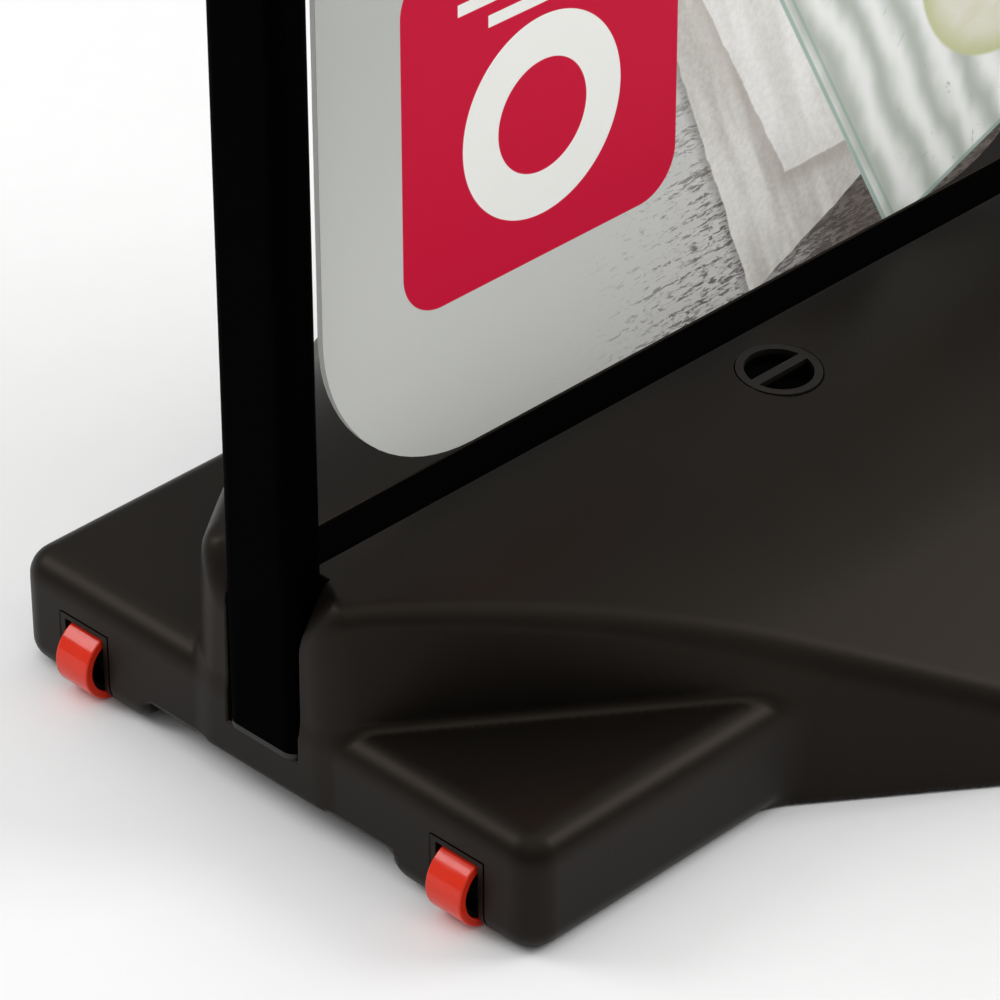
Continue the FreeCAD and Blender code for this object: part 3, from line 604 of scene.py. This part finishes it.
def plug_plastic():
    """The filler plug: as the base on its rim, with painted shade that turns it near black down in its finger
    holes.
    """
    look = Look("plug_plastic")
    _, y, z = look.axes()
    _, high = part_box("filler_plug")
    tilt = math.asin((BaseForm.filler_offset - BaseForm.roof_flat) / BaseForm.roof_radius)
    slope = math.tan(tilt)
    rim = z - (y - high.y) * slope
    # painted shade: more than 1.8 mm below the rim, inside the finger holes, the colour fades to near black
    # and the plastic gets rougher and less shiny
    depth = (high.z - rim).rise(0.0018, 0.0045)
    grain = look.noise(900, 2, 0.5)
    skin = look.blend(grain, (0.0085, 0.0068, 0.0055), (0.0115, 0.0092, 0.0074))
    # near black painted shade down in the finger holes
    look.color(look.blend(depth, skin, (0.0012, 0.0011, 0.0010)))
    look.roughness(0.42 + 0.08 * grain + 0.3 * depth)
    look.feed(look.shader.inputs["Specular IOR Level"], 0.2 - depth * 0.19)
    look.bump(grain, 0.00005, 0.3)
    return look.material


def wheel_plastic():
    """Glossy orange-red plastic wheel, slightly scuffed by the ground."""
    look = Look("wheel_plastic", Specular_IOR_Level=0.32)
    clouds = look.noise(60, 2, 0.5)
    scuffs = look.noise(30, 3, 0.6, look.stretched(1, 14, 1)).rise(0.55, 0.75)
    look.color(look.blend(clouds, (0.70, 0.024, 0.007), (0.78, 0.034, 0.011)))
    look.roughness(0.13 + 0.10 * scuffs)
    look.bump(look.noise(700, 2, 0.5), 0.00003, 0.2)
    return look.material


def core_plastic():
    """Black moulded core of a wheel."""
    look = Look("core_plastic", Specular_IOR_Level=0.12)
    grain = look.noise(900, 2, 0.5)
    look.color(look.blend(grain, (0.004, 0.0038, 0.0036), (0.007, 0.0065, 0.006)))
    look.roughness(0.5 + 0.1 * grain)
    look.bump(grain, 0.00005, 0.3)
    return look.material


def seal_rubber():
    """Matte black rubber of the filler's seal."""
    look = Look("seal_rubber")
    grain = look.noise(1500, 2, 0.5)
    look.color(look.blend(grain, (0.012, 0.012, 0.012), (0.02, 0.02, 0.02)))
    look.roughness(0.7 + 0.15 * grain)
    return look.material


def pale_plastic():
    """Off-white plastic of the bushes."""
    look = Look("pale_plastic")
    grain = look.noise(400, 2, 0.5)
    look.color(look.blend(grain, (0.68, 0.67, 0.62), (0.76, 0.75, 0.71)))
    look.roughness(0.4 + 0.1 * grain)
    return look.material


def board_core():
    """Edge of the foamed sheet under the posters."""
    look = Look("board_core")
    cells = look.noise(1800, 3, 0.6)
    look.color(look.blend(cells, (0.62, 0.62, 0.60), (0.78, 0.78, 0.76)))
    look.roughness(0.6 + 0.2 * cells)
    look.bump(cells, 0.0001, 0.4)
    return look.material


def dry_sand():
    """Dry sand in the tank."""
    look = Look("dry_sand")
    grains = look.noise(1500, 2, 0.7)
    look.color(look.blend(grains, (0.42, 0.33, 0.21), (0.66, 0.56, 0.40)))
    look.roughness(0.85 + 0.1 * grains)
    look.bump(grains, 0.0006, 0.8)
    return look.material


# ---------------------------------------------------------------- the poster's print
#
# Places on it are u, across from the board's middle, and w, up from its lower edge, in millimetres.

WHITE_PRINT = (0.95, 0.95, 0.91)
CUT_EDGE = 0.6
FINE_EDGE = 0.3


def grey_field(look, w):
    """Plain grey ground, a little lighter towards the lower edge."""
    field = look.blend(w.rise(300, 60), (0.53, 0.542, 0.517), (0.655, 0.665, 0.635))
    return look.blend(look.noise(3, 2, 0.5) * 0.1, field, (0.48, 0.49, 0.47))


def limewashed_boards(look, u):
    """Old white boards with dark flakes along their grain, bare and brown towards the right."""
    weave = look.noise(1, 3, 0.6, look.stretched(14, 1, 260), distortion=0.4)
    flakes = look.noise(1, 4, 0.7, look.stretched(120, 1, 420), distortion=0.8)
    age = (u * 0.006 + 0.62).at_least(0).at_most(1)
    streaks = (flakes * 0.65 + weave * 0.35 + age * 0.10).rise(0.548, 0.64)
    limewash = look.blend(weave, (0.56, 0.55, 0.53), (0.76, 0.75, 0.73))
    limewash = look.blend(u.rise(25, 120), limewash, (0.20, 0.175, 0.155))
    return look.blend(streaks * 0.85, limewash, (0.085, 0.070, 0.068))


def lay_cloth(look, u, w, haze, under):
    """Folded cloth over what is under it: a shadow, a lower layer and a brighter one on top."""
    left_lean, left_foot = 0.375, 31
    lower_slope, lower_foot = 0.45, 40
    fold_lean, fold_foot, fold_height = 0.53, 92.6, 66
    fluff = look.noise(330, 3, 0.65).rise(0.32, 0.68)
    drape = look.noise(1, 2, 0.5, look.vector(u * 0.055 + w * 0.021, 0, w * 0.008)).rise(0.36, 0.64)
    waver = (look.noise(60, 2, 0.5) - 0.5) * 5
    left_edge = u + w * left_lean - left_foot + waver
    lower_edge = w - (u - lower_foot) * lower_slope + waver
    fold_edge = (u + w * fold_lean - fold_foot + waver).at_most(w - fold_height + waver * 0.6)

    shadow = left_edge.rise(-9, 0) * lower_edge.rise(-9, 0) * haze
    shaded = look.blend(shadow * 0.45, under, (0.10, 0.085, 0.075))
    lower_layer = left_edge.rise(-CUT_EDGE, CUT_EDGE) * lower_edge.rise(-CUT_EDGE, CUT_EDGE) * haze
    cloth = look.blend(fluff * 0.3 + drape * 0.7, (0.56, 0.535, 0.495), (0.86, 0.84, 0.80))
    laid = look.blend(lower_layer, shaded, cloth)
    laid = look.blend(fold_edge.rise(-17, -1) * lower_layer * 0.5, laid, (0.36, 0.31, 0.26))
    bright_cloth = look.blend(fluff * 0.35 + drape * 0.65, (0.74, 0.72, 0.68), (0.96, 0.95, 0.92))
    return look.blend(fold_edge.rise(-0.8, 0.8) * lower_layer, laid, bright_cloth)


def lay_dish(look, u, w, haze, under):
    """Pale glass dish with wavy ridges and dents, and green lines along its edges."""
    rim_lean, rim_foot = 0.54, 144
    foot_slope, foot_start = 0.36, 182
    rim = u + w * rim_lean - rim_foot
    foot_edge = w - (u - foot_start) * foot_slope
    ripple = look.noise(1, 2, 0.5, look.stretched(30, 1, 16))
    ridges = look.math("SINE", rim * 0.19 + ripple * 5) * 0.5 + 0.5
    glass = look.blend(ridges, (0.53, 0.57, 0.51), (0.97, 0.98, 0.95))
    dents = look.noise(55, 2, 0.5, distortion=1.5).rise(0.64, 0.74) * rim.rise(20, 70)
    glass = look.blend(dents * 0.6, glass, (0.30, 0.33, 0.28))
    dish = rim.rise(-CUT_EDGE, CUT_EDGE) * foot_edge.rise(-CUT_EDGE, CUT_EDGE)
    laid = look.blend(dish * haze, under, glass)
    rim_lines = (rim - 1.5).size().rise(2.2, 0.8) + (rim - 9).size().rise(1.6, 0.6) * 0.7
    foot_line = (foot_edge - 1.5).size().rise(2.4, 0.8) * rim.rise(0, 10)
    green = ((rim_lines * foot_edge.rise(-1, 1)).at_least(foot_line) * haze).at_most(1)
    return look.blend(green * 0.75, laid, (0.27, 0.42, 0.36))


def lay_flower(look, u, w, under):
    """Round cream flower, greener towards its edge."""
    middle_u, middle_w, half = 245, 150, 78
    away = look.length(u - middle_u, w - middle_w)
    petals = look.noise(28, 2, 0.5, distortion=1.2)
    cream = look.blend(petals, (0.72, 0.70, 0.50), (0.88, 0.87, 0.78))
    cream = look.blend(away.rise(half - 20, half) * 0.7, cream, (0.52, 0.56, 0.22))
    return look.blend(away.rise(half, half - 3), under, cream)


def lay_badge(look, u, w, under):
    """Crimson square with round corners, and in it a plain ring under two bars."""
    middle_u, middle_w, half, corner = -136, 196, 103, 28
    ring_w, ring_radius, ring_half_width = 178, 46, 13
    bars = ((262, 62), (248, 40))
    bar_half_height = 3.5
    across = (u - middle_u).size()
    out_u = (across - (half - corner)).at_least(0)
    out_w = ((w - middle_w).size() - (half - corner)).at_least(0)
    square = look.length(out_u, out_w).rise(corner + FINE_EDGE, corner - FINE_EDGE)
    from_ring = (look.length(u - middle_u, w - ring_w) - ring_radius).size()
    white = from_ring.rise(ring_half_width + FINE_EDGE, ring_half_width - FINE_EDGE)
    for bar_w, bar_half in bars:
        along = across.rise(bar_half + FINE_EDGE, bar_half - FINE_EDGE)
        up = (w - bar_w).size().rise(bar_half_height + FINE_EDGE, bar_half_height - FINE_EDGE)
        white = white.at_least(along * up)
    laid = look.blend(square, under, (0.62, 0.0075, 0.043))
    return look.blend(white, laid, WHITE_PRINT)


def printed_sheet(name, side):
    """Printed poster: a badge and a soft still life on a grey field. Side is +1 in front and -1 behind."""
    look = Look(name, Specular_IOR_Level=0.06)
    low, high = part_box("sign_panel")
    x, _, z = look.axes()
    u = (x - (low.x + high.x) / 2) * (side / MM)
    w = (z - low.z) * (1 / MM)
    haze = w.rise(360, 230)
    spread = (u - w * 0.35).rise(-150, -10) * w.rise(330, 190)
    print_color = look.blend(spread, grey_field(look, w), limewashed_boards(look, u))
    print_color = lay_cloth(look, u, w, haze, print_color)
    print_color = lay_dish(look, u, w, haze, print_color)
    print_color = lay_flower(look, u, w, print_color)
    print_color = lay_badge(look, u, w, print_color)
    look.color(print_color)
    look.roughness(0.42 + 0.05 * look.noise(3, 2, 0.5))
    return look.material


def dress_cad():
    """Give every CAD node the look of its material slot."""
    looks = {
        "base_plastic": moulded_plastic(), "frame_paint": black_paint(), "cap_plastic": cap_plastic(),
        "zinc_steel": zinc_plate(), "wheel_plastic": wheel_plastic(), "seal_rubber": seal_rubber(),
        "bush_plastic": pale_plastic(), "board_core": board_core(), "sand": dry_sand(),
        "core_plastic": core_plastic(), "poster_paper": printed_sheet("poster_print_front", 1),
    }
    for part in frame["record"]["subparts"]:
        materials = frame["nodes"][part["node"]].data.materials
        materials.clear()
        materials.append(looks[part["material_slot"]])
    frame["nodes"]["filler_plug"].data.materials[0] = plug_plastic()
    rear = frame["nodes"]["poster_rear"].data.materials
    rear[0] = printed_sheet("poster_print_rear", -1)
    return looks


make_camera()
make_world()
make_floor()
make_light("left_box", place=(-1.7, 2.1, 2.1), aim=(-0.1, 0, 0.1), size=1.3, power=30)
make_light("right_box", place=(2.2, -1.9, 2.2), aim=(0.1, 0, 0.1), size=1.5, power=46)
bpy.context.scene.view_settings.view_transform = "Standard"
looks = dress_cad()
make_base_skin(looks["base_plastic"])
